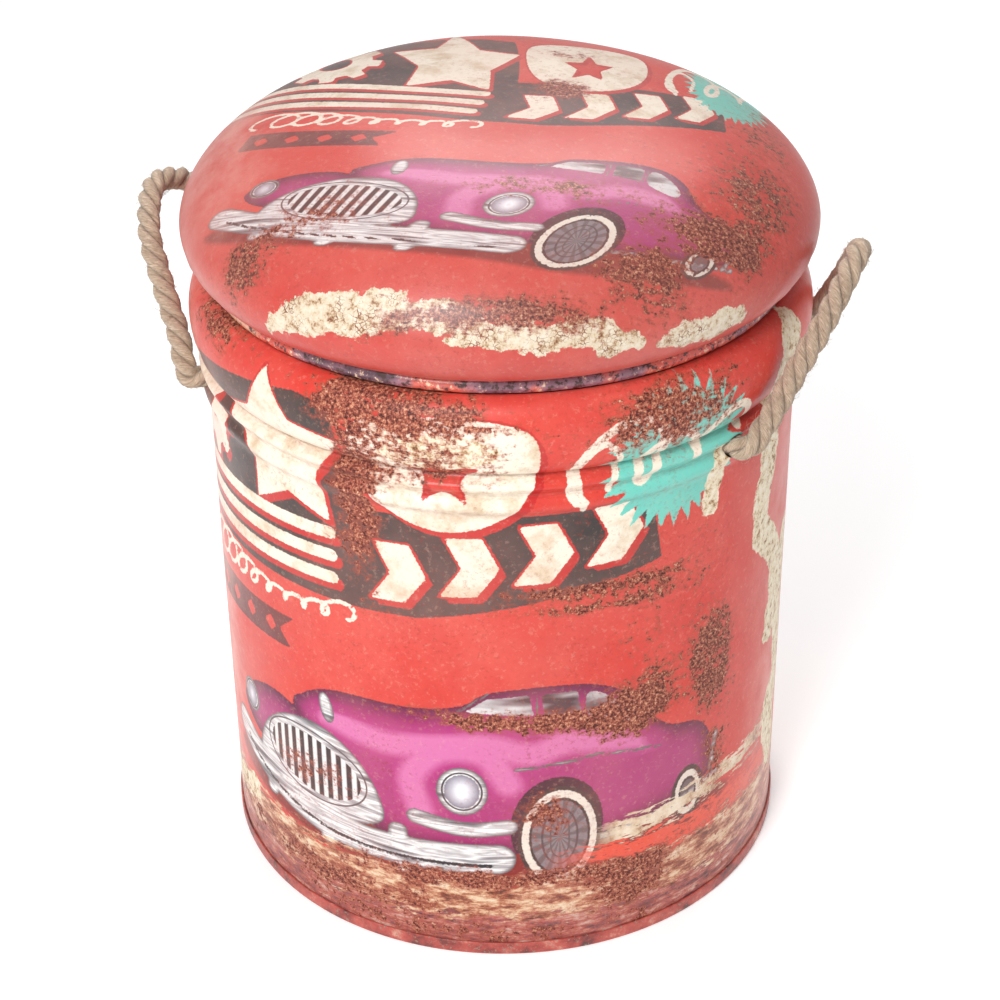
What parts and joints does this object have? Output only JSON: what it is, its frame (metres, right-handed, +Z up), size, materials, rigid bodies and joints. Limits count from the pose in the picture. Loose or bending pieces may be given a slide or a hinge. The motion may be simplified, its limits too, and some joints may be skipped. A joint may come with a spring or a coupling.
{
  "type": "storage stool",
  "caption": "Printed and aged steel drum that opens for storage under a padded, domed lift-off lid that serves as a seat, with bowed rope handles at its sides.",
  "frame": {"origin": "on the drum's axis, at the floor, under the seam round its foot", "axes": "+Z up along the drum's axis; -Y towards the front, where the printed panel faces; the two handles lie near +X and -X, turned 16 degrees clockwise seen from above"},
  "size_m": [0.3711, 0.3212, 0.4252],
  "materials": {
    "printed_tin": "satin litho print on sheet steel, worn and rust-stained",
    "foot_tin": "satin print with scuffed, bare edges",
    "wire_steel": "plain drawn wire",
    "jute_rope": "matt three-strand natural fibre",
    "printed_leatherette": "glossy printed synthetic leather",
    "printed_hoop": "glossy print, worn",
    "seat_foam": "open-cell foam",
    "board_wood": "raw plywood",
    "disc_wood": "raw fibreboard",
    "liner_cloth": "black non-woven cloth",
    "screw_steel": "yellow zinc plated"
  },
  "bodies": {
    "drum": {"drum_shell": "printed_tin", "drum_bottom": "foot_tin", "rim_wire": "wire_steel", "rope_knot_left_back": "jute_rope", "rope_knot_left_front": "jute_rope", "rope_knot_right_back": "jute_rope", "rope_knot_right_front": "jute_rope"},
    "lid": {"seat_cover": "printed_leatherette", "seat_foam": "seat_foam", "seat_board": "board_wood", "lid_hoop": "printed_hoop", "locating_disc": "disc_wood", "lid_liner": "liner_cloth", "lid_screw_1": "screw_steel", "lid_screw_2": "screw_steel", "lid_screw_3": "screw_steel", "lid_screw_4": "screw_steel", "lid_screw_5": "screw_steel", "lid_screw_6": "screw_steel"},
    "right_rope": {"right_handle": "jute_rope"},
    "left_rope": {"left_handle": "jute_rope"}
  },
  "joints": [
    {"name": "lid_lift", "type": "slide", "parent": "drum", "child": "lid", "axis": [0, 0, 1], "range_m": [0, 0.14]},
    {"name": "right_handle_swing", "type": "hinge", "parent": "drum", "child": "right_rope", "pos_m": [0.13914, -0.0399, 0.2844], "axis": [0.2756, 0.9613, 0], "range_deg": [-3, 105]},
    {"name": "left_handle_swing", "type": "hinge", "parent": "drum", "child": "left_rope", "pos_m": [-0.13914, 0.0399, 0.2844], "axis": [-0.2756, -0.9613, 0], "range_deg": [-3, 105]}
  ]
}
